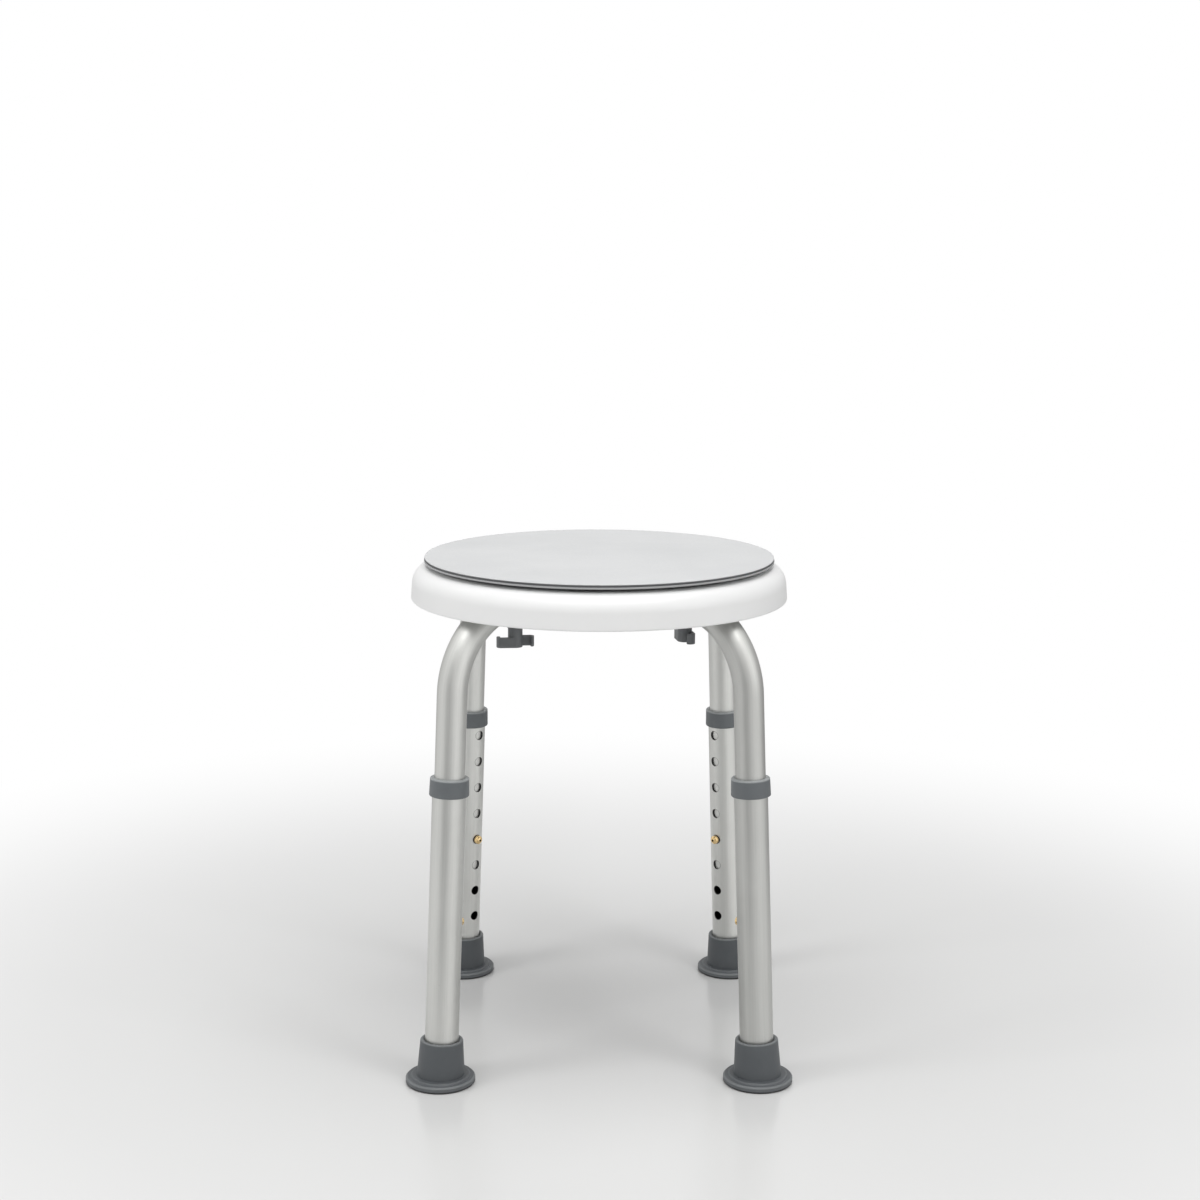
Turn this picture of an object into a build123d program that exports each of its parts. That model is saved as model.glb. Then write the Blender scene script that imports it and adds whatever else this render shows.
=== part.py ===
from build123d import *
from math import asin, cos, radians, sin, tan
import os

# Swivel shower stool, in millimetres. The origin is on the floor under the middle of the seat,
# +Z is up and the front is -Y. Heights are above the floor with the snap buttons in their rest hole.
# Three knobs are tight and one is left slack.

# Seat, from the top down
seat_height = 425.0          # top of the pad
pad_diameter = 300.6
pad_thickness = 2.6
pad_edge_radius = 0.7
plate_diameter = 301.0
plate_thickness = 2.8
plate_rim_thickness = 1.5
plate_rim_width = 6.0
plate_edge_radius = 0.5
plate_hub_radius = 20.0
plate_hub_depth = 3.0
seat_gap = 1.8               # under the swivel plate
seat_diameter = 324.0
seat_depth = 29.0            # from the flat top down to the bottom of the skirt
seat_rim_radius = 16.0
seat_wall = 3.0
skirt_wall = 3.2
skirt_draft = 4.2            # degrees, wider towards the bottom
skirt_edge_radius = 1.4
rib_thickness = 2.2
rib_depth = 12.0
ring_rib_radius = 120.0
straight_ribs = 4

# Swivel
glide_ring_radius = 118.0    # to its middle
glide_ring_width = 10.0
glide_groove_depth = 1.5
glide_clearance = 0.2        # each side of the ring in its groove
hub_clearance = 1.5          # round the plate's hub in the seat
thrust_washer_thickness = 1.0
bolt_diameter = 8.0
bolt_head_diameter = 22.0
bolt_head_thickness = 2.0
bolt_clearance = 0.1         # radial, in the seat
nut_across_flats = 13.0
nut_height = 8.0
bolt_past_nut = 1.6
bolt_chamfer = 0.8
steel_washer_diameter = 24.0
steel_washer_thickness = 1.6
seat_hub_radius = 15.0
seat_hub_length = 14.0       # from the flat top down, at the pivot

# Legs
leg_angles = {"front_left": 224.2, "front_right": 315.8, "rear_right": 46.6, "rear_left": 133.4}
foot_circle_radius = 185.0   # where the leg axes meet the floor
leg_lean = 2.9               # degrees inward, going up
upper_tube_diameter = 25.0
lower_tube_diameter = 28.0
tube_wall = 1.2
bend_radius = 70.0           # to the middle of the tube
run_depth = 22.8             # from the flat top down to the middle of the level run
run_end_radius = 38.0        # inner end of the run, from the middle of the seat
upper_tube_foot = 97.0       # lower end of the upper tube, along the leg
lower_tube_foot = 8.5        # lower end of the lower tube, along the leg
lower_tube_top = 257.6
hole_count = 8
hole_pitch = 25.4
hole_diameter = 8.3
top_hole = 236.7             # highest hole, along the leg
rest_hole = 5                # the hole that the button stands in, counted from the top
channel_width = 35.0
channel_outer_radius = 113.0
channel_clearance = 0.15     # radial, round the tube in the seat

# Collar on the lower tube
collar_top = 259.8           # along the leg
collar_height = 15.2
collar_top_radius = 16.0
collar_bottom_radius = 16.5
collar_guide_clearance = 0.1     # radial, on the upper tube
collar_fit = 0.02            # radial, on the lower tube
collar_edge_radius = 1.0

# Rubber foot
foot_flange_radius = 28.9
foot_flange_height = 5.6
foot_step_radius = 24.0
foot_step_height = 7.0
foot_cup_top = 36.8          # along the leg
foot_cup_top_radius = 17.8
foot_cup_base_radius = 20.1
foot_lip_radius = 1.2
foot_bore_flare = 1.6
foot_fit = 0.02              # radial, on the tube
foot_disc_thickness = 1.5
foot_disc_clearance = 0.3    # radial, in the foot
foot_edge_undercut = 1.0
tread_radii = (9.0, 15.0, 21.0)
tread_width = 2.4
tread_depth = 1.4

# Snap button and its spring
button_diameter = 7.8
button_hole_clearance = 0.1      # radial, in the upper tube
button_tip = 19.0            # from the leg axis
button_dome = 2.2
button_flange_diameter = 9.4
button_flange_thickness = 0.8
button_pit_diameter = 2.0
button_pit_depth = 2.4
button_stem_diameter = 3.0
button_stem_length = 1.4
spring_face = 9.2            # outer face of the button's arm, from the leg axis
spring_thickness = 0.6
spring_width = 8.0
spring_length = 40.0         # from the button up to the fold
spring_fold_radius = 2.5
spring_back_reach = 10.0     # where the other arm bears on the tube
spring_below_button = 6.5
stem_clearance = 0.1

# Wing knob, its stud, washer and insert
knob_radius = 98.5           # from the middle of the seat
knob_angles = {"front_left": 4, "front_right": 100, "rear_right": 62, "rear_left": 151}
slack_corner = "front_left"  # the knob there is left slack
slack_drop = 5.0             # how far the slack knob stands below a tight one
washer_radius = 7.4
washer_below_tube = 2.6
washer_rise = 2.6            # how far it reaches up beside the tube
washer_clearance = 0.08      # on the tube
knob_hub_radius = 6.1
knob_hub_height = 16.9
wing_height = 8.8
wing_thickness = 2.3
wing_reach = 15.8
wing_hook_radius = 2.9
wing_hook_turn = 150         # degrees that each wing curls round
knob_edge_radius = 0.6
stud_diameter = 6.0
stud_in_knob = 12.0
stud_fit = 0.02              # radial, in the knob
stud_chamfer = 0.8
stud_hole_diameter = 6.8
stud_clearance = 0.06        # radial, in the insert
insert_diameter = 9.0
insert_length = 7.0
insert_fit = 0.02            # radial, in the seat

# Levels worked out from those sizes
plate_top = seat_height - pad_thickness
plate_bottom = plate_top - plate_thickness
seat_top = plate_bottom - seat_gap
seat_bottom = seat_top - seat_depth
seat_ceiling = seat_top - seat_wall
run_height = seat_top - run_depth
plate_hub_bottom = plate_bottom - plate_hub_depth
hub_recess_floor = plate_hub_bottom - thrust_washer_thickness
hub_recess_radius = plate_hub_radius + hub_clearance
glide_groove_floor = seat_top - glide_groove_depth
seat_hub_bottom = seat_top - seat_hub_length
steel_washer_bottom = seat_hub_bottom - steel_washer_thickness
nut_bottom = steel_washer_bottom - nut_height
upper_radius = upper_tube_diameter / 2
lower_radius = lower_tube_diameter / 2
run_bottom = run_height - upper_radius
run_top = run_height + upper_radius
washer_bottom = run_bottom - washer_below_tube
knob_bottom = washer_bottom - knob_hub_height
stud_bottom = washer_bottom - stud_in_knob
stud_radius = stud_diameter / 2
insert_bottom = run_top + channel_clearance
stud_top = insert_bottom + insert_length
button_along = top_hole - (rest_hole - 1) * hole_pitch

os.makedirs("parts", exist_ok=True)


def finish(part, name):
    """Labels a finished piece and writes it."""
    part.label = name
    export_step(part, f"parts/{name}.step")


def ring(plane, inner, outer, height):
    """A round washer or ring that stands on a plane."""
    with BuildPart() as made:
        with BuildSketch(plane):
            Circle(outer)
            Circle(inner, mode=Mode.SUBTRACT)
        extrude(amount=height)
    return made.part


# Directions at each leg


def outward(angle):
    """Level direction from the middle of the stool towards the leg at an angle."""
    return Vector(cos(radians(angle)), sin(radians(angle)), 0)


def up_leg(angle):
    """Direction of the leg's axis, going up."""
    return outward(angle) * -sin(radians(leg_lean)) + Vector(0, 0, cos(radians(leg_lean)))


def square_out(angle):
    """Direction square to the leg's axis, pointing away from the middle of the stool."""
    return outward(angle) * cos(radians(leg_lean)) + Vector(0, 0, sin(radians(leg_lean)))


def on_leg(angle, along):
    """Point on the leg's axis, this far up it from the floor."""
    return outward(angle) * foot_circle_radius + up_leg(angle) * along


def leg_plane(angle, along):
    """Plane square to the leg's axis. Its x points away from the middle of the stool."""
    return Plane(origin=on_leg(angle, along), x_dir=square_out(angle), z_dir=up_leg(angle))


def leg_section(angle, along=0):
    """Plane that holds the leg's axis. Its x points away from the stool and its y up the leg."""
    return Plane(
        origin=on_leg(angle, along),
        x_dir=square_out(angle),
        z_dir=square_out(angle).cross(up_leg(angle)),
    )


def inward_plane(angle, along):
    """Plane on the leg's axis that faces the middle of the stool, as the holes do."""
    return Plane(origin=on_leg(angle, along), x_dir=up_leg(angle), z_dir=square_out(angle) * -1)


def level_plane(angle, radius, height, turn=0):
    """Level plane at a distance from the middle of the stool, turned about its own middle."""
    place = Plane(origin=outward(angle) * radius + Vector(0, 0, height))
    return place.rotated((0, 0, turn))


# Seat


def seat_pad():
    """Closed-cell foam disc, glued to the swivel plate."""
    with BuildPart() as pad:
        with BuildSketch(Plane.XY.offset(plate_top)):
            Circle(pad_diameter / 2)
        extrude(amount=pad_thickness)
        fillet(pad.edges().group_by(Axis.Z)[-1], radius=pad_edge_radius)
    return pad.part


def swivel_plate():
    """Moulded disc that turns on the glide ring. A sunk seat in its top holds the bolt head."""
    plate_radius = plate_diameter / 2
    with BuildPart() as plate:
        with BuildSketch(Plane.XY.offset(plate_top)):
            Circle(plate_radius)
        extrude(amount=-plate_rim_thickness)
        fillet(plate.edges().group_by(Axis.Z)[0], radius=plate_edge_radius)
        with BuildSketch(Plane.XY.offset(plate_top)):
            Circle(plate_radius - plate_rim_width)
        extrude(amount=-plate_thickness)
        with BuildSketch(Plane.XY.offset(plate_bottom)):
            Circle(plate_hub_radius)
        extrude(amount=-plate_hub_depth)
        with BuildSketch(Plane.XY.offset(plate_top)):
            Circle(bolt_head_diameter / 2)
        extrude(amount=-bolt_head_thickness, mode=Mode.SUBTRACT)
        with BuildSketch(Plane.XY.offset(plate_top)):
            Circle(bolt_diameter / 2)
        extrude(amount=-plate_thickness - plate_hub_depth, mode=Mode.SUBTRACT)
    return plate.part


def pivot_bolt():
    """Flat-headed steel bolt, fast in the plate, that the seat turns about."""
    with BuildPart() as bolt:
        with BuildSketch(Plane.XY.offset(plate_top)):
            Circle(bolt_head_diameter / 2)
        extrude(amount=-bolt_head_thickness)
        with BuildSketch(Plane.XY.offset(plate_top - bolt_head_thickness)):
            Circle(bolt_diameter / 2)
        extrude(amount=nut_bottom - bolt_past_nut - plate_top + bolt_head_thickness)
        chamfer(bolt.edges().group_by(Axis.Z)[0], length=bolt_chamfer)
    return bolt.part


def pivot_nut():
    """Locking nut at the lower end of the pivot bolt."""
    with BuildPart() as nut:
        with BuildSketch(Plane.XY.offset(nut_bottom)):
            RegularPolygon(nut_across_flats / 2, 6, major_radius=False)
            Circle(bolt_diameter / 2, mode=Mode.SUBTRACT)
        extrude(amount=nut_height)
    return nut.part


def leg_path(angle):
    """Middle line of an upper leg: up from its lower end, round the bend and in under the seat."""
    section = Plane(
        origin=(0, 0, 0), x_dir=outward(angle), z_dir=outward(angle).cross(Vector(0, 0, 1))
    )
    lean = radians(leg_lean)
    lower_end = (
        foot_circle_radius - upper_tube_foot * sin(lean),
        upper_tube_foot * cos(lean),
    )
    corner_along = run_height / cos(lean)
    corner = (foot_circle_radius - corner_along * sin(lean), run_height)
    inner_end = (run_end_radius, run_height)
    with BuildLine(section) as path:
        FilletPolyline(lower_end, corner, inner_end, radius=bend_radius)
    return path.line


def leg_solid(angle, radius):
    """The bent leg as a solid bar of some radius."""
    path = leg_path(angle)
    with BuildPart() as bar:
        with BuildSketch(Plane(origin=path @ 0, z_dir=path % 0)):
            Circle(radius)
        sweep(path=path)
    return bar.part


def seat_shell():
    """White moulding: flat top, rounded rim, skirt, and under it the ribs and the leg channels."""
    outer = seat_diameter / 2
    draft = radians(skirt_draft)
    inner_rim_radius = seat_rim_radius - seat_wall
    rim_height = seat_top - seat_rim_radius
    skirt_height = rim_height + seat_rim_radius * sin(draft) - seat_bottom
    rim_middle = outer - seat_rim_radius * cos(draft) - skirt_height * tan(draft)
    rim_foot = (
        rim_middle + seat_rim_radius * cos(draft),
        rim_height + seat_rim_radius * sin(draft),
    )
    inner_rim_foot = (
        rim_middle + inner_rim_radius * cos(draft),
        rim_height + inner_rim_radius * sin(draft),
    )
    with BuildPart() as shell:
        with BuildSketch(Plane.XZ):
            with BuildLine():
                Polyline((0, seat_top), (rim_middle, seat_top))
                RadiusArc((rim_middle, seat_top), rim_foot, seat_rim_radius)
                Polyline(
                    rim_foot,
                    (outer, seat_bottom),
                    (outer - skirt_wall, seat_bottom),
                    inner_rim_foot,
                )
                RadiusArc(inner_rim_foot, (rim_middle, seat_ceiling), -inner_rim_radius)
                Polyline((rim_middle, seat_ceiling), (0, seat_ceiling), (0, seat_top))
            make_face()
        revolve(axis=Axis.Z)
        fillet(shell.edges().group_by(Axis.Z)[0], radius=skirt_edge_radius)

        # the ring rib and the straight ribs that stiffen the top
        with BuildSketch(Plane.XY.offset(seat_ceiling - rib_depth)):
            Circle(ring_rib_radius + rib_thickness / 2)
            Circle(ring_rib_radius - rib_thickness / 2, mode=Mode.SUBTRACT)
        extrude(amount=rib_depth)
        rib_start = seat_hub_radius - rib_thickness
        rib_bottom = seat_ceiling - rib_depth
        rib_rim_radius = seat_rim_radius - seat_wall / 2     # to the middle of the wall
        rib_foot_turn = asin((rib_bottom - rim_height) / rib_rim_radius)
        rib_turns = [360 / straight_ribs * number for number in range(straight_ribs)]
        for turn in rib_turns:
            rib_plane = Plane(
                origin=(0, 0, 0), x_dir=outward(turn), z_dir=outward(turn).cross(Vector(0, 0, 1))
            )
            with BuildSketch(rib_plane):
                with BuildLine():
                    Polyline(
                        (rim_middle, rim_height + rib_rim_radius),
                        (rib_start, rim_height + rib_rim_radius),
                        (rib_start, rib_bottom),
                        (rim_middle + rib_rim_radius * cos(rib_foot_turn), rib_bottom),
                    )
                    RadiusArc(
                        (rim_middle + rib_rim_radius * cos(rib_foot_turn), rib_bottom),
                        (rim_middle, rim_height + rib_rim_radius),
                        -rib_rim_radius,
                    )
                make_face()
            extrude(amount=rib_thickness / 2, both=True)

        # the boss for the pivot and the channels that the legs lie in
        with BuildSketch(Plane.XY.offset(seat_hub_bottom)):
            Circle(seat_hub_radius)
        extrude(amount=seat_hub_length - seat_wall)
        for angle in leg_angles.values():
            middle = (run_end_radius + channel_outer_radius) / 2
            length = channel_outer_radius - run_end_radius + 2 * seat_wall
            with BuildSketch(level_plane(angle, middle, run_height, angle)):
                Rectangle(length, channel_width)
            extrude(amount=seat_ceiling - run_height)

        # room for the legs, the inserts, the glide ring and the pivot
        for angle in leg_angles.values():
            add(leg_solid(angle, upper_radius + channel_clearance), mode=Mode.SUBTRACT)
            with BuildSketch(level_plane(angle, knob_radius, run_height)):
                Circle(insert_diameter / 2 + insert_fit)
            extrude(amount=insert_bottom + insert_length - run_height, mode=Mode.SUBTRACT)
        with BuildSketch(Plane.XY.offset(glide_groove_floor)):
            Circle(glide_ring_radius + glide_ring_width / 2 + glide_clearance)
            Circle(glide_ring_radius - glide_ring_width / 2 - glide_clearance, mode=Mode.SUBTRACT)
        extrude(amount=glide_groove_depth, mode=Mode.SUBTRACT)
        with BuildSketch(Plane.XY.offset(hub_recess_floor)):
            Circle(hub_recess_radius)
        extrude(amount=seat_top - hub_recess_floor, mode=Mode.SUBTRACT)
        with BuildSketch(Plane.XY.offset(seat_hub_bottom)):
            Circle(bolt_diameter / 2 + bolt_clearance)
        extrude(amount=seat_hub_length, mode=Mode.SUBTRACT)
    return shell.part


# Legs


def upper_leg(angle):
    """Bent aluminium tube, drilled for the snap button and for the knob's stud."""
    path = leg_path(angle)
    with BuildPart() as leg:
        with BuildSketch(Plane(origin=path @ 0, z_dir=path % 0)):
            Circle(upper_radius)
            Circle(upper_radius - tube_wall, mode=Mode.SUBTRACT)
        sweep(path=path)
        with BuildSketch(inward_plane(angle, button_along)):
            Circle(button_diameter / 2 + button_hole_clearance)
        extrude(amount=upper_tube_diameter, mode=Mode.SUBTRACT)
        with BuildSketch(level_plane(angle, knob_radius, run_height)):
            Circle(stud_hole_diameter / 2)
        extrude(amount=upper_tube_diameter, both=True, mode=Mode.SUBTRACT)
    return leg.part


def lower_leg(angle):
    """Straight aluminium tube with a row of adjusting holes that face the middle of the stool."""
    with BuildPart() as leg:
        with BuildSketch(leg_plane(angle, lower_tube_foot)):
            Circle(lower_radius)
            Circle(lower_radius - tube_wall, mode=Mode.SUBTRACT)
        extrude(amount=lower_tube_top - lower_tube_foot)
        for hole in range(hole_count):
            with BuildSketch(inward_plane(angle, top_hole - hole * hole_pitch)):
                Circle(hole_diameter / 2)
            extrude(amount=lower_tube_diameter, mode=Mode.SUBTRACT)
    return leg.part


def collar(angle):
    """Plastic cap on the top of the lower tube, whose lip guides the upper tube."""
    sleeve = lower_radius + collar_fit
    with BuildPart() as made:
        with BuildSketch(leg_section(angle)):
            Polygon(
                (upper_radius + collar_guide_clearance, collar_top),
                (collar_top_radius, collar_top),
                (collar_bottom_radius, collar_top - collar_height),
                (sleeve, collar_top - collar_height),
                (sleeve, lower_tube_top),
                (upper_radius + collar_guide_clearance, lower_tube_top),
                align=None,
            )
        revolve(axis=Axis(on_leg(angle, 0), up_leg(angle)))
        rims = made.edges().filter_by(GeomType.CIRCLE).filter_by(
            lambda edge: edge.radius > (sleeve + collar_top_radius) / 2
        )
        fillet(rims, radius=collar_edge_radius)
    return made.part


def rubber_foot(angle):
    """Rubber foot: a cup along the leg and a flat stepped flange with a grooved sole."""
    foot_middle = outward(angle) * foot_circle_radius
    cup_axis = Axis(on_leg(angle, 0), up_leg(angle))
    disc_floor = lower_tube_foot - foot_disc_thickness
    bore = lower_radius + foot_fit
    flange_top = foot_flange_height
    with BuildPart() as foot:
        section = Plane(
            origin=foot_middle, x_dir=outward(angle), z_dir=outward(angle).cross(Vector(0, 0, 1))
        )
        with BuildSketch(section):
            Polygon(
                (0, 0),
                (foot_flange_radius - foot_edge_undercut, 0),
                (foot_flange_radius, foot_edge_undercut),
                (foot_flange_radius, flange_top - foot_lip_radius),
                (foot_flange_radius - foot_lip_radius, flange_top),
                (foot_step_radius + foot_lip_radius, flange_top),
                (foot_step_radius, foot_step_height),
                (0, foot_step_height),
                align=None,
            )
        revolve(axis=Axis(foot_middle, (0, 0, 1)))
        with BuildSketch(leg_section(angle)):
            Polygon(
                (0, foot_step_height / 2),
                (foot_cup_base_radius, foot_step_height / 2),
                (foot_cup_top_radius, foot_cup_top),
                (0, foot_cup_top),
                align=None,
            )
        revolve(axis=cup_axis)
        lip = foot.edges().filter_by(GeomType.CIRCLE).sort_by(Axis.Z)[-1]
        fillet(lip, radius=foot_lip_radius)
        with BuildSketch(leg_plane(angle, disc_floor)):
            Circle(bore)
        extrude(amount=foot_cup_top, mode=Mode.SUBTRACT)
        mouth = foot.edges().filter_by(GeomType.CIRCLE).filter_by(
            lambda edge: abs(edge.radius - bore) < foot_fit
        ).sort_by(Axis.Z)[-1]
        chamfer(mouth, length=foot_bore_flare)
        for radius in tread_radii:
            with BuildSketch(Plane(origin=foot_middle)):
                Circle(radius + tread_width / 2)
                Circle(radius - tread_width / 2, mode=Mode.SUBTRACT)
            extrude(amount=tread_depth, mode=Mode.SUBTRACT)
    return foot.part


def foot_disc(angle):
    """Steel disc in the foot, under the end of the tube."""
    with BuildPart() as disc:
        with BuildSketch(leg_plane(angle, lower_tube_foot - foot_disc_thickness)):
            Circle(lower_radius - foot_disc_clearance)
        extrude(amount=foot_disc_thickness)
    return disc.part


# Snap button and spring


def snap_button(angle):
    """Brass button: domed pin, flange that holds it in the tube, and stem through the spring."""
    radius = button_diameter / 2
    flange_top = spring_face + button_flange_thickness
    dome_base = button_tip - button_dome
    dome_side = button_dome * 0.45
    with BuildPart() as button:
        # sketch x is the distance from the button's middle, y the distance from the leg's axis
        section = Plane(
            origin=on_leg(angle, button_along), x_dir=up_leg(angle),
            z_dir=up_leg(angle).cross(square_out(angle) * -1),
        )
        with BuildSketch(section):
            with BuildLine():
                Polyline(
                    (0, spring_face - button_stem_length),
                    (button_stem_diameter / 2, spring_face - button_stem_length),
                    (button_stem_diameter / 2, spring_face),
                    (button_flange_diameter / 2, spring_face),
                    (button_flange_diameter / 2, flange_top),
                    (radius, flange_top),
                    (radius, dome_base),
                )
                Spline(
                    (radius, dome_base),
                    (radius * 0.8, dome_base + button_dome - dome_side),
                    (radius * 0.35, button_tip),
                    tangents=((0, 1), (-1, 0)),
                )
                Polyline(
                    (radius * 0.35, button_tip),
                    (0, button_tip),
                    (0, spring_face - button_stem_length),
                )
            make_face()
        revolve(axis=Axis(on_leg(angle, button_along), square_out(angle) * -1))
        with BuildSketch(inward_plane(angle, button_along).offset(button_tip - button_pit_depth)):
            Circle(button_pit_diameter / 2)
        extrude(amount=button_pit_depth, mode=Mode.SUBTRACT)
    return button.part


def button_spring(angle):
    """Folded strip of spring steel: one arm carries the button, the other bears on the tube."""
    arm = -spring_face + spring_thickness / 2
    back = spring_back_reach - spring_thickness / 2
    fold = (0, spring_length)
    with BuildPart() as spring:
        with BuildSketch(leg_section(angle, button_along)):
            with BuildLine():
                FilletPolyline(
                    (arm, -spring_below_button),
                    (arm, spring_below_button),
                    fold,
                    (back, -spring_below_button),
                    radius=spring_fold_radius,
                )
            trace(line_width=spring_thickness)
        extrude(amount=spring_width / 2, both=True)
        with BuildSketch(inward_plane(angle, button_along)):
            Circle(button_stem_diameter / 2 + stem_clearance)
        extrude(amount=upper_tube_diameter, mode=Mode.SUBTRACT)
    return spring.part


# Knob that holds the leg to the seat. Each piece is made as it stands when tight, then lowered.


def saddle_washer(angle, drop):
    """Plastic washer, hollowed on top to sit on the round tube."""
    with BuildPart() as washer:
        with BuildSketch(level_plane(angle, knob_radius, washer_bottom)):
            Circle(washer_radius)
            Circle(stud_hole_diameter / 2, mode=Mode.SUBTRACT)
        extrude(amount=washer_below_tube + washer_rise)
        add(leg_solid(angle, upper_radius + washer_clearance), mode=Mode.SUBTRACT)
    return washer.part.moved(Location((0, 0, -drop)))


def wing_knob(angle, turn, drop):
    """S-shaped moulded knob: a hub and two hooked wings, with a bore for its stud."""
    side = knob_hub_radius - wing_thickness / 2
    hook_start = wing_reach - wing_hook_radius - wing_thickness / 2
    with BuildPart() as knob:
        with BuildSketch(level_plane(angle, knob_radius, knob_bottom)):
            Circle(knob_hub_radius)
        extrude(amount=knob_hub_height)
        for half_turn in (0, 180):
            with BuildSketch(level_plane(angle, knob_radius, knob_bottom, turn + half_turn)):
                with BuildLine():
                    straight = Line((0, -side), (-hook_start, -side))
                    JernArc(straight @ 1, (-1, 0), wing_hook_radius, -wing_hook_turn)
                trace(line_width=wing_thickness)
            extrude(amount=wing_height)
        fillet(knob.edges().group_by(Axis.Z)[0], radius=knob_edge_radius)
        with BuildSketch(level_plane(angle, knob_radius, stud_bottom)):
            Circle(stud_radius + stud_fit)
        extrude(amount=stud_in_knob, mode=Mode.SUBTRACT)
    return knob.part.moved(Location((0, 0, -drop)))


def knob_stud(angle, drop):
    """Steel stud, fast in the knob, that goes up through the tube into the insert."""
    with BuildPart() as stud:
        with BuildSketch(level_plane(angle, knob_radius, stud_bottom)):
            Circle(stud_radius)
        extrude(amount=stud_top - stud_bottom)
        chamfer(stud.edges().group_by(Axis.Z)[-1], length=stud_chamfer)
    return stud.part.moved(Location((0, 0, -drop)))


def thread_inserts():
    """Brass inserts in the seat, one over each leg, that the studs screw into."""
    with BuildPart() as inserts:
        for angle in leg_angles.values():
            with BuildSketch(level_plane(angle, knob_radius, insert_bottom)):
                Circle(insert_diameter / 2)
                Circle(stud_radius + stud_clearance, mode=Mode.SUBTRACT)
            extrude(amount=insert_length)
    return inserts.part


finish(seat_pad(), "seat_pad")
finish(swivel_plate(), "swivel_plate")
finish(pivot_bolt(), "pivot_bolt")
finish(pivot_nut(), "pivot_nut")
finish(seat_shell(), "seat_shell")
finish(thread_inserts(), "thread_inserts")
finish(
    ring(
        Plane.XY.offset(glide_groove_floor),
        glide_ring_radius - glide_ring_width / 2,
        glide_ring_radius + glide_ring_width / 2,
        plate_bottom - glide_groove_floor,
    ),
    "glide_ring",
)
finish(
    ring(
        Plane.XY.offset(hub_recess_floor),
        bolt_diameter / 2 + bolt_clearance,
        plate_hub_radius,
        thrust_washer_thickness,
    ),
    "thrust_washer",
)
finish(
    ring(
        Plane.XY.offset(steel_washer_bottom),
        bolt_diameter / 2 + bolt_clearance,
        steel_washer_diameter / 2,
        steel_washer_thickness,
    ),
    "steel_washer",
)
for corner, angle in leg_angles.items():
    finish(upper_leg(angle), f"upper_leg_{corner}")
    finish(lower_leg(angle), f"lower_leg_{corner}")
    finish(collar(angle), f"collar_{corner}")
    finish(rubber_foot(angle), f"rubber_foot_{corner}")
    finish(foot_disc(angle), f"foot_disc_{corner}")
    finish(snap_button(angle), f"snap_button_{corner}")
    finish(button_spring(angle), f"button_spring_{corner}")
    knob_drop = slack_drop if corner == slack_corner else 0
    finish(saddle_washer(angle, knob_drop), f"saddle_washer_{corner}")
    finish(wing_knob(angle, knob_angles[corner], knob_drop), f"wing_knob_{corner}")
    finish(knob_stud(angle, knob_drop), f"knob_stud_{corner}")
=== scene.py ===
import bpy
import bmesh
from math import cos, radians, sin, tan, tau
from mathutils import Matrix, Vector, noise


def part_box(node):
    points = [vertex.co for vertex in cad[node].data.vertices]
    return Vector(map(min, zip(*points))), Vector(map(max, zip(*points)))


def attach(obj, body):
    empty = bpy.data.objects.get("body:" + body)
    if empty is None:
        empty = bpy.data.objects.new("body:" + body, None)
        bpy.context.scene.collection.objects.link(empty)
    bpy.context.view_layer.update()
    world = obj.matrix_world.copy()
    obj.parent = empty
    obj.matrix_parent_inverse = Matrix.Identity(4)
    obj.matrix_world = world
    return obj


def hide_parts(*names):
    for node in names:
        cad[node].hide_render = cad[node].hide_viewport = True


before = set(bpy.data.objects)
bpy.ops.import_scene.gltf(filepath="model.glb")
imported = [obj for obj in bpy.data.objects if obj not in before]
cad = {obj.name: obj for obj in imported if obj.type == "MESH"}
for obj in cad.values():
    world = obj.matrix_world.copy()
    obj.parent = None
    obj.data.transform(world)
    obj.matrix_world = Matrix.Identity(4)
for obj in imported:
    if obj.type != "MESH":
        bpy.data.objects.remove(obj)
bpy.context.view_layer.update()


# Seat shell. One glossy white injection moulding: a flat top, a rounded rim and a skirt, with ribs and the
# leg channels underneath. It is polished outside, and finely spark-textured on the hidden underside.


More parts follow.
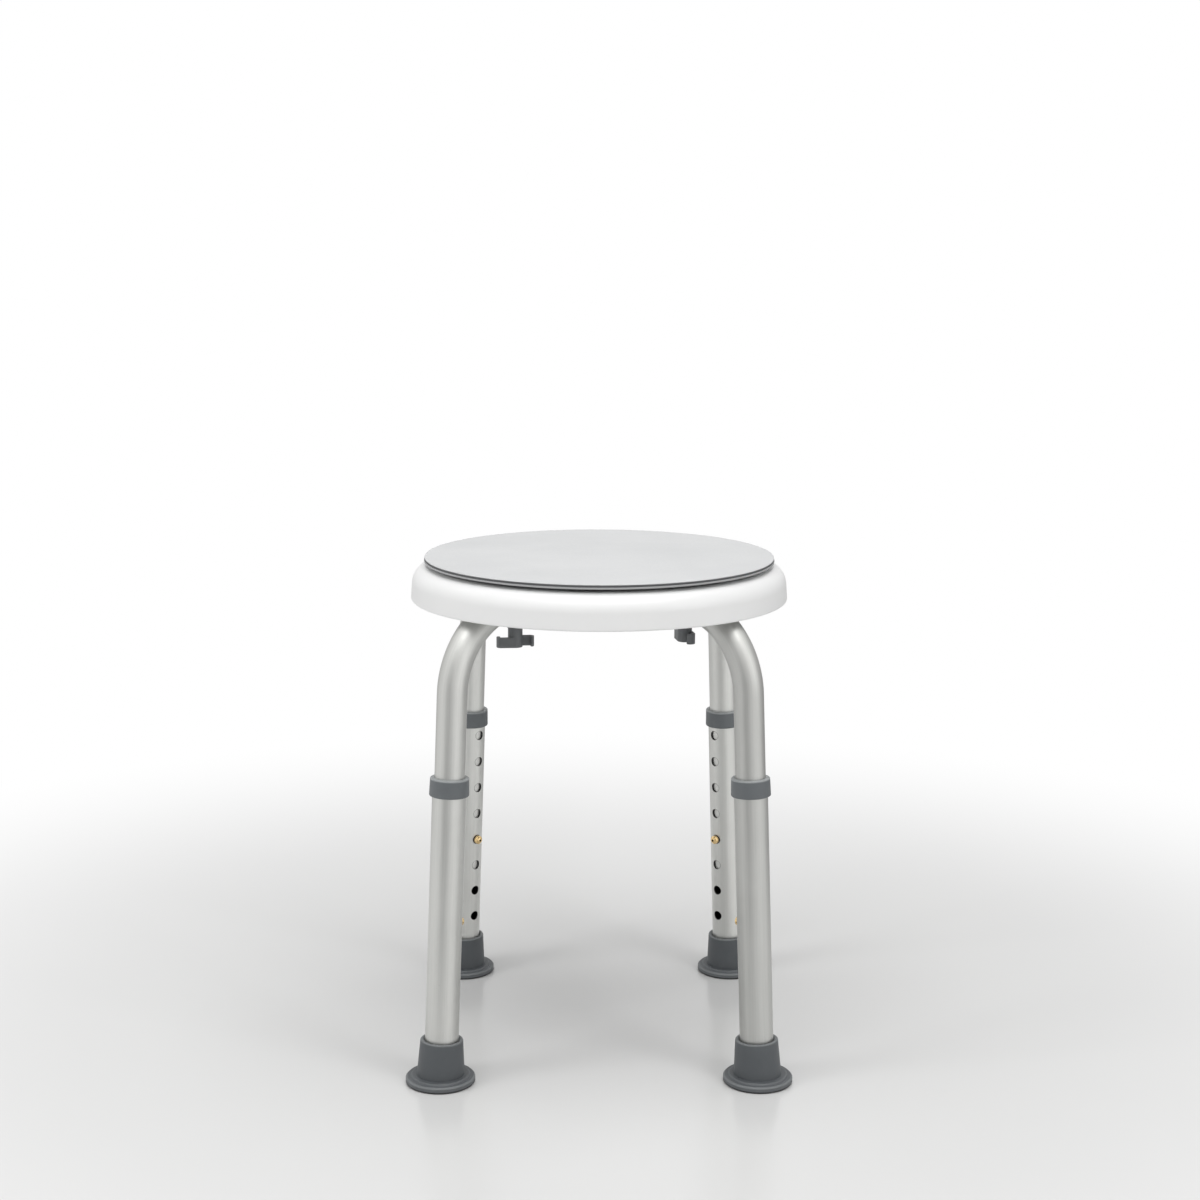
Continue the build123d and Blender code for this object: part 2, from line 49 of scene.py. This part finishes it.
class Flow:
    """What comes out of one socket in a material, so that shader maths can be written as sums."""

    def __init__(self, socket):
        self.socket = socket

    def node(self, kind, settings=None, inputs=None, output=0):
        """Adds a node to the same material: its settings are made first, then its sockets are filled."""
        tree = self.socket.id_data
        made = tree.nodes.new(kind)
        for name, value in (settings or {}).items():
            setattr(made, name, value)
        for name, value in (inputs or {}).items():
            if isinstance(value, Flow):
                tree.links.new(value.socket, made.inputs[name])
            else:
                made.inputs[name].default_value = value
        return Flow(made.outputs[output])

    def maths(self, operation, first, second=0.0, third=0.0):
        """One Math node."""
        return self.node("ShaderNodeMath", {"operation": operation}, {0: first, 1: second, 2: third})

    def __add__(self, other):
        return self.maths("ADD", self, other)

    __radd__ = __add__

    def __sub__(self, other):
        return self.maths("SUBTRACT", self, other)

    def __rsub__(self, other):
        return self.maths("SUBTRACT", other, self)

    def __mul__(self, other):
        return self.maths("MULTIPLY", self, other)

    __rmul__ = __mul__

    def __pow__(self, other):
        return self.maths("POWER", self, other)

    def at_least(self, other):
        return self.maths("MAXIMUM", self, other)

    def at_most(self, other):
        return self.maths("MINIMUM", self, other)

    def waves(self, pitch):
        """Goes smoothly between 0 and 1, once in each pitch."""
        phase = self * (tau / pitch)
        return phase.maths("SINE", phase) * 0.5 + 0.5

    def rise(self, start, end):
        """Goes smoothly from 0 where this is start to 1 where it is end."""
        return self.node(
            "ShaderNodeMapRange",
            {"interpolation_type": "SMOOTHSTEP"},
            {"Value": self, "From Min": start, "From Max": end},
        )

    def along(self, direction):
        """How far this place lies in a direction, from the origin."""
        settings = {"operation": "DOT_PRODUCT"}
        return self.node("ShaderNodeVectorMath", settings, {0: self, 1: direction}, "Value")

    def stretch(self, x, y, z):
        """This place, scaled on each axis."""
        return self.node("ShaderNodeVectorMath", {"operation": "MULTIPLY"}, {0: self, 1: (x, y, z)})

    def grain(self, scale, detail=2.0, roughness=0.5):
        """Soft noise at this place, about 0 to 1, with this many lumps to the metre."""
        sockets = {"Vector": self, "Scale": scale, "Detail": detail, "Roughness": roughness}
        return self.node("ShaderNodeTexNoise", {"noise_dimensions": "3D"}, sockets)

    def blend(self, clear, full):
        """A colour that goes from clear to full as this goes from 0 to 1."""
        return self.node("ShaderNodeMix", {"data_type": "RGBA"}, {0: self, 6: clear, 7: full}, 2)

    def relief(self, depth, strength=1.0, over=None):
        """Surface normal for bumps of this height, in metres, on top of other bumps."""
        sockets = {"Height": self, "Distance": depth, "Strength": strength}
        if over:
            sockets["Normal"] = over
        return self.node("ShaderNodeBump", None, sockets)


def new_material(name):
    """An empty material, and the place on the piece to work its pattern out from."""
    material = bpy.data.materials.new(name)
    material.use_nodes = True
    material.node_tree.nodes.clear()
    place = Flow(material.node_tree.nodes.new("ShaderNodeTexCoord").outputs["Object"])
    return material, place


def use_as_surface(shader):
    """Makes a shader the surface of its material."""
    tree = shader.socket.id_data
    tree.links.new(shader.socket, tree.nodes.new("ShaderNodeOutputMaterial").inputs["Surface"])


def coat(place, **sockets):
    """Gives the material its surface. Names are the Principled shader's sockets, with _ for a space."""
    named = {name.replace("_", " "): value for name, value in sockets.items()}
    use_as_surface(place.node("ShaderNodeBsdfPrincipled", None, named))


def off_axis(first, second):
    """How far a place is from an axis, from its two distances square to that axis."""
    return (first ** 2 + second ** 2) ** 0.5


seat_low, seat_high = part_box("seat_shell")
seat_radius = 0.162
rim_radius = 0.016
skirt_draft = radians(4.2)
lip_radius = 0.0014
covered_radius = 0.12
rim_skin, skirt_skin = 0.001, 0.0008
polish_end, texture_start = 0.0009, 0.0015
rim_height = seat_high[2] - rim_radius
rim_foot = rim_height + rim_radius * sin(skirt_draft)
rim_reach = seat_radius - rim_radius * cos(skirt_draft) - (rim_foot - seat_low[2]) * tan(skirt_draft)
lip_height = seat_low[2] + lip_radius
lip_reach = seat_radius - lip_radius * tan(skirt_draft) - lip_radius / cos(skirt_draft)


def seat_facing(radius, height):
    """Which way the outside of the seat faces, out and up: flat top, rounded rim, drafted skirt, lip."""
    if height > rim_foot:
        return Vector((max(radius - rim_reach, 0.0), height - rim_height)).normalized()
    if height > lip_height + lip_radius * sin(skirt_draft):
        return Vector((cos(skirt_draft), sin(skirt_draft)))
    return Vector((radius - lip_reach, height - lip_height)).normalized()


def is_polished(radius, height):
    """Whether a face with its middle here is on the outside of the seat, past what the pad covers."""
    if radius < covered_radius:
        return False
    if height > rim_foot:
        from_rim_middle = Vector((max(radius - rim_reach, 0.0), height - rim_height)).length
        return from_rim_middle > rim_radius - rim_skin
    if height > lip_height:
        return radius > seat_radius - (height - seat_low[2]) * tan(skirt_draft) - skirt_skin
    return radius > lip_reach


seat_mesh = cad["seat_shell"].data.copy()
seat_mesh.name = "seat_moulding"
facings = [Vector(corner.vector) for corner in seat_mesh.corner_normals]
for face in seat_mesh.polygons:
    if is_polished(face.center.xy.length, face.center.z):
        for corner in face.loop_indices:
            point = seat_mesh.vertices[seat_mesh.loops[corner].vertex_index].co
            out, up = seat_facing(point.xy.length, point.z)
            facings[corner] = Vector((*(point.xy.normalized() * out), up))
seat_mesh.normals_split_custom_set(facings)
seat_moulding = bpy.data.objects.new("seat_moulding", seat_mesh)
bpy.context.collection.objects.link(seat_moulding)
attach(seat_moulding, "stool")
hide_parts("seat_shell")

gloss_white, place = new_material("gloss_white_moulding")
radius = off_axis(place.along((1, 0, 0)), place.along((0, 1, 0)))
height = place.along((0, 0, 1))
depth = rim_radius - off_axis((radius - rim_reach).at_least(0), (height - rim_height).at_least(0))
underside = depth.rise(polish_end, texture_start)
clouds = place.grain(9.0, 3.0)
hairlines = place.stretch(1, 1, 3).grain(900.0, 2.0, 0.7).rise(0.62, 0.78)
rubbed = hairlines * place.grain(38.0, 2.0).rise(0.42, 0.7) * (1 - underside)
coat(
    place,
    Base_Color=clouds.blend((0.83, 0.835, 0.835, 1), (0.865, 0.865, 0.86, 1)),
    Roughness=0.30 + 0.07 * clouds + 0.12 * rubbed + 0.25 * underside,
    Normal=place.grain(160.0, 2.0).relief(0.00004, 0.35, place.grain(2600.0, 1.0).relief(0.00001, 0.2)),
    Specular_IOR_Level=0.5,
)
seat_mesh.materials.clear()
seat_mesh.materials.append(gloss_white)


# Threaded inserts. Four turned brass bushes, pressed into the bosses of the seat over the legs. Rings turned
# round their outsides keep them in the plastic.

ring_pitch = 0.0024166

insert_brass, place = new_material("turned_brass_inserts")
lathe_lines = place.along((0, 0, 1)).waves(ring_pitch)
tarnish = place.grain(350.0, 4.0)
coat(
    place,
    Base_Color=tarnish.rise(0.4, 0.7).blend((0.80, 0.60, 0.30, 1), (0.55, 0.38, 0.17, 1)),
    Metallic=1.0,
    Roughness=0.26 + 0.2 * tarnish,
    Normal=lathe_lines.relief(0.00002, 0.6),
)


def dress(names, material):
    """Gives CAD nodes a finish in place of the plain one that they come with."""
    for name in names:
        for slot in cad[name].material_slots:
            slot.material = material


dress(["thread_inserts"], insert_brass)


# Legs: upper and lower tubes. Drawn aluminium, satin anodised, with faint draw lines that follow the tube
# round its bend. The holes were punched in the side that faces the middle. Painted shade darkens the bore,
# the hole walls and rings round the holes and the button.

corners = ("front_left", "front_right", "rear_right", "rear_left")
leg_lean = radians(2.9)
foot_circle = 0.185
bend_radius = 0.07
bend_height = 0.395 - bend_radius
bend_reach = foot_circle - (bend_radius + bend_height * sin(leg_lean)) / cos(leg_lean)
leg_turns = {"front_left": 224.2, "front_right": 315.8, "rear_right": 46.6, "rear_left": 133.4}
# each leg's brightness is painted into its tubes' colour, standing in for the different light each leg
# reflects
leg_reflection_shades = {"front_left": 1.00, "front_right": 0.85, "rear_right": 1.08, "rear_left": 1.13}
upper_radius = 0.0125
lower_radius = 0.014
hole_radius = 0.00415
hole_pitch = 0.0254
top_hole = 0.2367
button_up = top_hole - 4 * hole_pitch
below_holes = top_hole - 7.5 * hole_pitch
# radius of the painted shade ring round the button on the upper tube
button_shade_radius = 0.0056


def on_leg(place, corner):
    """A place on a leg: how far up the leg it is, how far out from the tube's middle, and how far across."""
    turn = radians(leg_turns[corner])
    reach = place.along((cos(turn), sin(turn), 0)) - foot_circle
    height = place.along((0, 0, 1))
    up = height * cos(leg_lean) - reach * sin(leg_lean)
    out = reach * cos(leg_lean) + height * sin(leg_lean)
    return up, out, place.along((-sin(turn), cos(turn), 0))


def tube_finish(corner, name, outer_radius):
    """Satin anodised aluminium for one tube of a leg. Its bore and the walls of its holes are painted dark,
    as shade.
    """
    turn = radians(leg_turns[corner])
    material, place = new_material(name + "_" + corner)
    up, out, across = on_leg(place, corner)
    inside = out.rise(0.001, -0.001)
    # round the bend and on the level run, how far out is counted from the tube's middle there
    beyond = place.along((cos(turn), sin(turn), 0)) - bend_reach
    above = place.along((0, 0, 1)) - bend_height
    below = (above * cos(leg_lean) - beyond * sin(leg_lean)).at_most(0)
    out = off_axis((beyond + below * sin(leg_lean)).at_least(0), above - below * cos(leg_lean)) - bend_radius
    section = place.node("ShaderNodeCombineXYZ", None, {0: out, 1: across, 2: up * 0.012})
    draw_lines = section.grain(1500.0, 3.0, 0.6)
    broad_lines = section.grain(260.0, 2.0)
    clouds = place.grain(24.0, 3.0, 0.6)
    specks = place.grain(1500.0, 1.0).rise(0.73, 0.8) * place.grain(60.0, 1.0).rise(0.5, 0.62)
    shade = 0.45 * draw_lines + 0.3 * broad_lines + 0.25 * clouds
    # painted shade: the bore and hole walls go near-black, and on the inner side a ring round each hole of
    # the lower tube, or round the button on the upper tube, goes darker, standing in for shadow in them
    bore = off_axis(out, across).rise(outer_radius - 0.00015, outer_radius - 0.0004)
    if "upper" in name:
        from_hole = off_axis(up - button_up, across)
        painted_hole_shade = from_hole.rise(button_shade_radius, button_shade_radius - 0.001)
    else:
        from_top = up - top_hole
        from_hole = off_axis(from_top.maths("WRAP", from_top, hole_pitch / 2, -hole_pitch / 2), across)
        painted_hole_shade = from_hole.rise(hole_radius + 0.0004, hole_radius + 0.0001)
        painted_hole_shade = painted_hole_shade * up.rise(below_holes - 0.004, below_holes)
    painted_shade = bore.at_least(inside * painted_hole_shade * 0.85)
    # painted reflected light: this leg's tubes are made lighter or darker as a whole
    reflected_shade = leg_reflection_shades[corner]
    skin = shade.rise(0.32, 0.68).blend(
        (0.55 * reflected_shade, 0.555 * reflected_shade, 0.535 * reflected_shade, 1), (0.62 * reflected_shade, 0.62 * reflected_shade, 0.60 * reflected_shade, 1)
    )
    coat(
        place,
        Base_Color=painted_shade.blend(specks.blend(skin, (0.40, 0.40, 0.39, 1)), (0.03, 0.03, 0.03, 1)),
        Metallic=1.0 - 0.9 * painted_shade,
        Roughness=0.37 + 0.07 * clouds + 0.06 * draw_lines + 0.2 * painted_shade,
        Normal=draw_lines.relief(0.00002, 0.35, place.grain(3200.0, 2.0).relief(0.00001, 0.25)),
    )
    return material


for corner in corners:
    dress(["upper_leg_" + corner], tube_finish(corner, "satin_upper_tube", upper_radius))
    dress(["lower_leg_" + corner], tube_finish(corner, "satin_lower_tube", lower_radius))


# Collars. Dark grey moulded caps, pushed over the tops of the lower tubes to guide the upper ones. Their
# rounded top lips are painted lighter, as a highlight.

collar_top = 0.2598

for corner in corners:
    collar_grey, place = new_material("grey_collar_moulding_" + corner)
    up, out, across = on_leg(place, corner)
    clouds = place.grain(55.0, 3.0)
    stipple = place.grain(1900.0, 2.0)
    # painted highlight: the rounded top lip is coloured lighter
    lip_highlight = up.rise(collar_top - 0.0018, collar_top - 0.0006)
    body = clouds.blend((0.104, 0.114, 0.121, 1), (0.138, 0.150, 0.158, 1))
    coat(
        place,
        Base_Color=lip_highlight.blend(body, (0.30, 0.315, 0.32, 1)),
        Roughness=0.40 + 0.10 * clouds,
        Normal=stipple.relief(0.00003, 0.3),
    )
    dress(["collar_" + corner], collar_grey)


# Rubber feet. Dark grey moulded rubber, paler on the flange, with painted highlights on the flange's rim, its
# step and the cup's mouth, a painted contact shadow along the sole, and a zinc-plated steel disc dropped
# inside for the tube to stand on.

foot_flange = 0.0289
foot_step = 0.024
foot_cup_top = 0.0368

for corner in corners:
    foot_rubber, place = new_material("grey_foot_rubber_" + corner)
    turn = radians(leg_turns[corner])
    clouds = place.grain(48.0, 4.0, 0.6)
    pores = place.grain(1700.0, 3.0, 0.6)
    up, out, across = on_leg(place, corner)
    height = place.along((0, 0, 1))
    from_middle = off_axis(place.along((cos(turn), sin(turn), 0)) - foot_circle, across)
    # painted highlights: the flange's rounded rim, the edge of its step and the cup's mouth are coloured
    # lighter, standing in for light catching them; the flange below about 6 mm is paler
    rim_highlight = from_middle.rise(foot_flange - 0.0018, foot_flange - 0.0008) * height.rise(0.0032, 0.0046)
    step_highlight = height.rise(0.0058, 0.0068) * from_middle.rise(foot_step - 0.0012, foot_step - 0.0004)
    mouth_highlight = up.rise(foot_cup_top - 0.0014, foot_cup_top - 0.0004)
    paler_flange = height.rise(0.0060, 0.0050) * 0.3
    highlights_and_pale_flange = rim_highlight.at_least(step_highlight * 0.4).at_least(mouth_highlight).at_least(paler_flange)
    highlights_and_pale_flange = highlights_and_pale_flange * (0.55 + 0.45 * clouds)
    # painted contact shadow: the lowest 2 mm of the foot are coloured near-black
    contact_shadow = height.rise(0.0021, 0.0012)
    body = (clouds * 0.8).blend((0.066, 0.073, 0.079, 1), (0.105, 0.113, 0.120, 1))
    coat(
        place,
        Base_Color=contact_shadow.blend(highlights_and_pale_flange.blend(body, (0.19, 0.20, 0.205, 1)), (0.012, 0.012, 0.013, 1)),
        Roughness=0.46 + 0.14 * clouds + 0.08 * highlights_and_pale_flange,
        Normal=pores.relief(0.00005, 0.3, clouds.relief(0.0003, 0.15)),
    )
    dress(["rubber_foot_" + corner], foot_rubber)

zinc, place = new_material("zinc_plated_steel")
spangle = place.grain(420.0, 2.0)
stain = place.grain(120.0, 4.0).rise(0.5, 0.72)
coat(
    place,
    Base_Color=stain.blend((0.56, 0.57, 0.58, 1), (0.38, 0.37, 0.35, 1)),
    Metallic=1.0,
    Roughness=0.30 + 0.15 * spangle + 0.2 * stain,
    Normal=spangle.relief(0.00002, 0.3),
)
dress(["foot_disc_" + corner for corner in corners], zinc)


# Snap buttons and their springs. Turned brass pins with a domed end and a centre pit, on a folded strip of
# blued spring steel inside the tube.

button_radius = 0.0039
button_pit = 0.0010
turned_pitch = 0.000698

for corner in corners:
    button_brass, place = new_material("polished_brass_button_" + corner)
    up, out, across = on_leg(place, corner)
    from_pin = off_axis(up - button_up, across)
    tarnish = place.grain(900.0, 3.0)
    rings = from_pin.waves(turned_pitch)
    past_tube = out + lower_radius
    # painted shade: the pin's sides inside the hole and its centre pit are coloured dark, standing in for
    # shadow
    in_hole = from_pin.rise(button_radius - 0.0009, button_radius - 0.0002) * past_tube.rise(-0.0018, -0.0006)
    painted_hole_shade = in_hole.at_least(from_pin.rise(button_pit + 0.0003, button_pit))
    brass = tarnish.rise(0.4, 0.75).blend((0.86, 0.64, 0.33, 1), (0.60, 0.40, 0.18, 1))
    coat(
        place,
        Base_Color=painted_hole_shade.blend(brass, (0.05, 0.035, 0.02, 1)),
        Metallic=1.0 - 0.7 * painted_hole_shade,
        Roughness=0.12 + 0.13 * tarnish,
        Normal=rings.relief(0.00002, 0.4),
    )
    dress(["snap_button_" + corner], button_brass)

spring_steel, place = new_material("rolled_spring_steel")
rolling = place.stretch(8, 8, 0.4).grain(220.0, 2.0)
coat(
    place,
    Base_Color=rolling.blend((0.25, 0.26, 0.28, 1), (0.40, 0.40, 0.41, 1)),
    Metallic=1.0,
    Roughness=0.28 + 0.15 * rolling,
    Normal=rolling.relief(0.00001, 0.3),
)
dress(["button_spring_" + corner for corner in corners], spring_steel)


# Wing knobs, saddle washers and studs. Grey nylon knobs moulded round steel studs, which hold the legs up
# against the seat.

knob_grey, place = new_material("grey_knob_moulding")
clouds = place.grain(140.0, 3.0)
stipple = place.grain(2300.0, 2.0)
coat(
    place,
    Base_Color=clouds.blend((0.105, 0.112, 0.118, 1), (0.155, 0.162, 0.168, 1)),
    Roughness=0.36 + 0.12 * clouds,
    Normal=stipple.relief(0.00003, 0.35),
)
dress(["wing_knob_" + corner for corner in corners], knob_grey)
dress(["saddle_washer_" + corner for corner in corners], knob_grey)

thread_pitch = 0.001

bright_steel, place = new_material("bright_steel_threads")
thread = place.along((0, 0, 1)).waves(thread_pitch)
haze = place.grain(500.0, 3.0)
coat(
    place,
    Base_Color=haze.blend((0.50, 0.50, 0.50, 1), (0.66, 0.66, 0.65, 1)),
    Metallic=1.0,
    Roughness=0.24 + 0.16 * haze,
    Normal=thread.relief(0.0004, 0.7),
)
dress(["knob_stud_" + corner for corner in corners], bright_steel)


# Swivel. The plate turns on a slippery ring let into the seat, about a flat-headed bolt whose washer and
# locking nut are under the seat.

slide_plastic, place = new_material("slippery_white_plastic")
clouds = place.grain(60.0, 3.0)
coat(
    place,
    Base_Color=clouds.blend((0.74, 0.73, 0.69, 1), (0.82, 0.81, 0.78, 1)),
    Roughness=0.34 + 0.12 * clouds,
    Normal=place.grain(1500.0, 2.0).relief(0.00002, 0.25),
)
dress(["glide_ring", "thrust_washer"], slide_plastic)

pivot_steel, place = new_material("stainless_pivot")
faced = place.grain(700.0, 3.0)
coat(
    place,
    Base_Color=faced.blend((0.52, 0.52, 0.52, 1), (0.66, 0.66, 0.65, 1)),
    Metallic=1.0,
    Roughness=0.26 + 0.18 * faced,
    Normal=faced.relief(0.00002, 0.3),
)
dress(["pivot_bolt", "pivot_nut", "steel_washer"], pivot_steel)

plate_grey, place = new_material("grey_plate_moulding")
clouds = place.grain(30.0, 3.0)
coat(
    place,
    Base_Color=clouds.blend((0.36, 0.365, 0.37, 1), (0.43, 0.435, 0.44, 1)),
    Roughness=0.38 + 0.1 * clouds,
    Normal=place.grain(1700.0, 2.0).relief(0.00003, 0.3),
)
dress(["swivel_plate"], plate_grey)


# Pad. A disc die-cut from a sheet of closed-cell foam, with a fine pebbled skin, glued to the plate. The
# cut edge is coloured darker, and the skin rolls over a little where the die pressed it.

pad_low, pad_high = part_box("seat_pad")
pad_radius = pad_high[0]
pad_bottom, pad_top = pad_low[2], pad_high[2]
pad_roll = 0.0009
pad_segments = 288
pad_dip = 0.00012
pad_raggedness = 0.00006


def pad_profile():
    """Radius and height of each ring of the pad, from the middle of the top to the middle of the bottom."""
    points = [(radius, pad_top) for radius in (0.03, 0.06, 0.09, 0.11, 0.125, 0.135, 0.141, 0.1455, 0.148)]
    edge = pad_radius - 0.0002
    for step in range(7):
        bend = radians(90 - 15 * step)
        points.append((edge - pad_roll + pad_roll * cos(bend), pad_top - pad_roll + pad_roll * sin(bend)))
    points += [(edge - 0.0001, pad_bottom + 0.0005), (edge - 0.0003, pad_bottom)]
    points += [(radius, pad_bottom) for radius in (0.13, 0.08)]
    return points


def pad_point(radius, height, turn):
    """A point of the pad's skin: the top is faintly uneven, and the cut edge is faintly ragged."""
    x, y = radius * cos(turn), radius * sin(turn)
    if height > pad_top - 0.0001:
        lumps = noise.noise((x * 14, y * 14, 0.3)) + 0.5 * noise.noise((x * 37, y * 37, 4.1))
        return x, y, height + pad_dip * (lumps - 1)
    if height < pad_top - pad_roll:
        scale = 1 + pad_raggedness * noise.noise((x * 300, y * 300, 2.0)) / radius
        return x * scale, y * scale, height
    return x, y, height


pad_mesh = bpy.data.meshes.new("foam_pad")
shape = bmesh.new()
turns = [tau * step / pad_segments for step in range(pad_segments)]
rings = []
for radius, height in pad_profile():
    rings.append([shape.verts.new(pad_point(radius, height, turn)) for turn in turns])
top_middle = shape.verts.new((0, 0, pad_top - 0.0001))
bottom_middle = shape.verts.new((0, 0, pad_bottom))
for step in range(pad_segments):
    after = (step + 1) % pad_segments
    shape.faces.new((top_middle, rings[0][step], rings[0][after]))
    for upper, lower in zip(rings, rings[1:]):
        shape.faces.new((upper[step], lower[step], lower[after], upper[after]))
    shape.faces.new((rings[-1][step], bottom_middle, rings[-1][after]))
bmesh.ops.recalc_face_normals(shape, faces=shape.faces)
shape.to_mesh(pad_mesh)
shape.free()
pad_mesh.polygons.foreach_set("use_smooth", [True] * len(pad_mesh.polygons))
foam_pad = bpy.data.objects.new("foam_pad", pad_mesh)
bpy.context.collection.objects.link(foam_pad)

foam, place = new_material("closed_cell_foam")
clouds = place.grain(11.0, 3.0, 0.55)
pebbles = place.grain(620.0, 3.0, 0.6)
fine = place.grain(2600.0, 2.0)
height = place.along((0, 0, 1))
cut_edge = height.rise(pad_top - 0.0006, pad_top - 0.0010)
shade = 0.45 * clouds + 0.35 * pebbles + 0.2 * fine
coat(
    place,
    Base_Color=cut_edge.blend(
        shade.rise(0.3, 0.7).blend((0.58, 0.587, 0.591, 1), (0.655, 0.659, 0.662, 1)), (0.10, 0.102, 0.105, 1)
    ),
    Roughness=0.62 + 0.14 * pebbles,
    Normal=pebbles.relief(0.00016, 0.5, fine.relief(0.00004, 0.4)),
)
pad_mesh.materials.append(foam)
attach(foam_pad, "swivel_top")
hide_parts("seat_pad")


# Room. A pale floor that runs out to a white backdrop, and soft light from a large overhead box and two
# lower ones in front. Shiny pieces also mirror tall grey flags, a brighter ceiling and a soft window.

floor_mesh = bpy.data.meshes.new("floor")
shape = bmesh.new()
bmesh.ops.create_grid(shape, x_segments=2, y_segments=2, size=12.0)
shape.to_mesh(floor_mesh)
shape.free()
floor = bpy.data.objects.new("floor", floor_mesh)
bpy.context.collection.objects.link(floor)
pale_floor, place = new_material("pale_floor")


def seen_by(place, *kinds):
    """1 for rays of these kinds and 0 for others."""
    return sum(place.node("ShaderNodeLightPath", None, None, "Is %s Ray" % kind) for kind in kinds).at_most(1)


def turned_from_front(place):
    """The direction of a place from the middle of the set: 0 in front, and to the right above 0."""
    return place.maths("ARCTAN2", place.along((1, 0, 0)), place.along((0, -1, 0)))


def flags(place):
    """How dark the tall grey flags beside the set make the mirrored room in a direction."""
    turned = turned_from_front(place)
    front_flag = turned.rise(radians(-50), radians(-30)) * turned.rise(radians(14), radians(-10))
    right_flag = turned.rise(radians(74), radians(112)) * turned.rise(radians(181), radians(165))
    rear_flag = turned.rise(radians(-100), radians(-135))
    return seen_by(place, "Glossy") * (0.55 * front_flag + 0.55 * right_flag + 0.35 * rear_flag)


radius = place.node("ShaderNodeVectorMath", {"operation": "LENGTH"}, {0: place}, "Value")
far = (radius.rise(0.25, 1.1) * seen_by(place, "Camera", "Transmission")).at_least(
    radius.rise(0.05, 0.65) * seen_by(place, "Glossy")
)
floor_shade = place.grain(3.0, 2.0).blend((0.74, 0.74, 0.735, 1), (0.77, 0.77, 0.765, 1))
near_floor = place.node("ShaderNodeBsdfPrincipled", None, {"Base Color": floor_shade, "Roughness": 0.2})
white_beyond = place.node("ShaderNodeEmission", None, {"Color": (1, 1, 1, 1), "Strength": 1.0})
black = place.node("ShaderNodeEmission", None, {"Color": (0, 0, 0, 1), "Strength": 0.0})
unflagged = place.node("ShaderNodeMixShader", None, {0: far, 1: near_floor, 2: white_beyond})
flagged_share = flags(place) * radius.rise(0.2, 0.9)
use_as_surface(place.node("ShaderNodeMixShader", None, {0: flagged_share, 1: unflagged, 2: black}))
floor_mesh.materials.append(pale_floor)

world = bpy.data.worlds.new("studio")
world.use_nodes = True
world.node_tree.nodes.clear()
place = Flow(world.node_tree.nodes.new("ShaderNodeTexCoord").outputs["Generated"])
climb = place.along((0, 0, 1))
seen_level = (1 - flags(place) * climb.rise(0.75, 0.25)) * seen_by(place, "Camera", "Glossy", "Transmission")
turned = turned_from_front(place)
window = turned.rise(radians(25), radians(45)) * turned.rise(radians(90), radians(68))
window = window * climb.rise(0.75, 0.55)
bright_parts = 0.2 * climb.rise(0.25, 0.7) + 0.7 * window
room_level = 0.30 + 0.70 * seen_level + bright_parts * seen_by(place, "Glossy")
room_light = place.node("ShaderNodeBackground", None, {"Color": (1, 1, 1, 1), "Strength": room_level})
world.node_tree.links.new(
    room_light.socket, world.node_tree.nodes.new("ShaderNodeOutputWorld").inputs["Surface"]
)
bpy.context.scene.world = world


def soft_box(name, place, target, width, height, watts):
    """A large soft lamp that faces a point."""
    lamp = bpy.data.lights.new(name, "AREA")
    lamp.shape = "RECTANGLE"
    lamp.size = width
    lamp.size_y = height
    lamp.energy = watts
    box = bpy.data.objects.new(name, lamp)
    box.location = place
    box.rotation_euler = (Vector(target) - Vector(place)).to_track_quat("-Z", "Y").to_euler()
    bpy.context.collection.objects.link(box)
    return box


soft_box("overhead_box", (0.05, -0.35, 2.3), (0, -0.02, 0.2), 1.9, 1.8, 32.0)
for name, place, watts in (("right_box", (1.9, -1.7, 1.2), 17.0), ("left_box", (-2.3, -1.1, 1.2), 21.0)):
    soft_box(name, place, (0, 0, 0.25), 1.0, 1.4, watts).visible_glossy = False

camera_data = bpy.data.cameras.new("camera")
camera_data.sensor_width = 36.0
camera_data.lens = 62.234
camera = bpy.data.objects.new("camera", camera_data)
bpy.context.collection.objects.link(camera)
swing, tip, roll = radians(0.760), radians(10.303), radians(0.225)
look = Vector((sin(swing) * cos(tip), cos(swing) * cos(tip), -sin(tip)))
level = Vector((cos(swing), -sin(swing), 0))
side = level * cos(roll) + level.cross(look) * sin(roll)
camera.matrix_world = Matrix.Translation((-0.0226, -1.765, 0.7061)) @ Matrix(
    (side, side.cross(look), -look)
).transposed().to_4x4()
bpy.context.scene.camera = camera
bpy.context.scene.view_settings.view_transform = "Standard"
